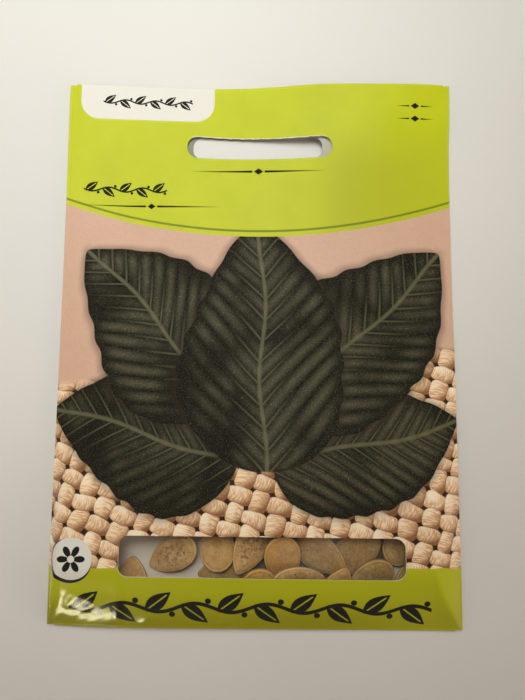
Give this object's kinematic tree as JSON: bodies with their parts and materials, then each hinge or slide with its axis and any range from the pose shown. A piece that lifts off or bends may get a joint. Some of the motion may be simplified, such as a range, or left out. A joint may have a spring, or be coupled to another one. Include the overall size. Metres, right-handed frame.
{
  "type": "seed packet",
  "caption": "Sealed paper seed packet lying on its back, with a hang slot in its header, a clear window near its foot and loose seeds heaped inside.",
  "frame": {"origin": "centre of the packet's outline, on the surface that its back lies on", "axes": "+Y up the printed front towards the hanging header, +X to the right as the front is seen, +Z out of the front"},
  "size_m": [0.1016, 0.1396, 0.0069],
  "materials": {
    "printed_paper": "gloss-coated, printed, white and uncoated inside",
    "clear_film": "clear and glossy",
    "dried_glue": "thin dried glue",
    "seed_coat": "dry, papery and matt"
  },
  "bodies": {
    "root": {"paper_envelope": "printed_paper", "window_film": "clear_film", "window_film_glue": "dried_glue", "side_seam_glue": "dried_glue", "bottom_flap_glue": "dried_glue", "top_flap_glue": "dried_glue", "seed_01": "seed_coat", "seed_02": "seed_coat", "seed_03": "seed_coat", "seed_04": "seed_coat", "seed_05": "seed_coat", "seed_06": "seed_coat", "seed_07": "seed_coat", "seed_08": "seed_coat", "seed_09": "seed_coat", "seed_10": "seed_coat", "seed_11": "seed_coat", "seed_12": "seed_coat", "seed_13": "seed_coat", "seed_14": "seed_coat", "seed_15": "seed_coat", "seed_16": "seed_coat", "seed_17": "seed_coat", "seed_18": "seed_coat", "seed_19": "seed_coat", "seed_20": "seed_coat", "seed_21": "seed_coat", "seed_22": "seed_coat", "seed_23": "seed_coat", "seed_24": "seed_coat", "seed_25": "seed_coat", "seed_26": "seed_coat", "seed_27": "seed_coat"}
  },
  "joints": []
}
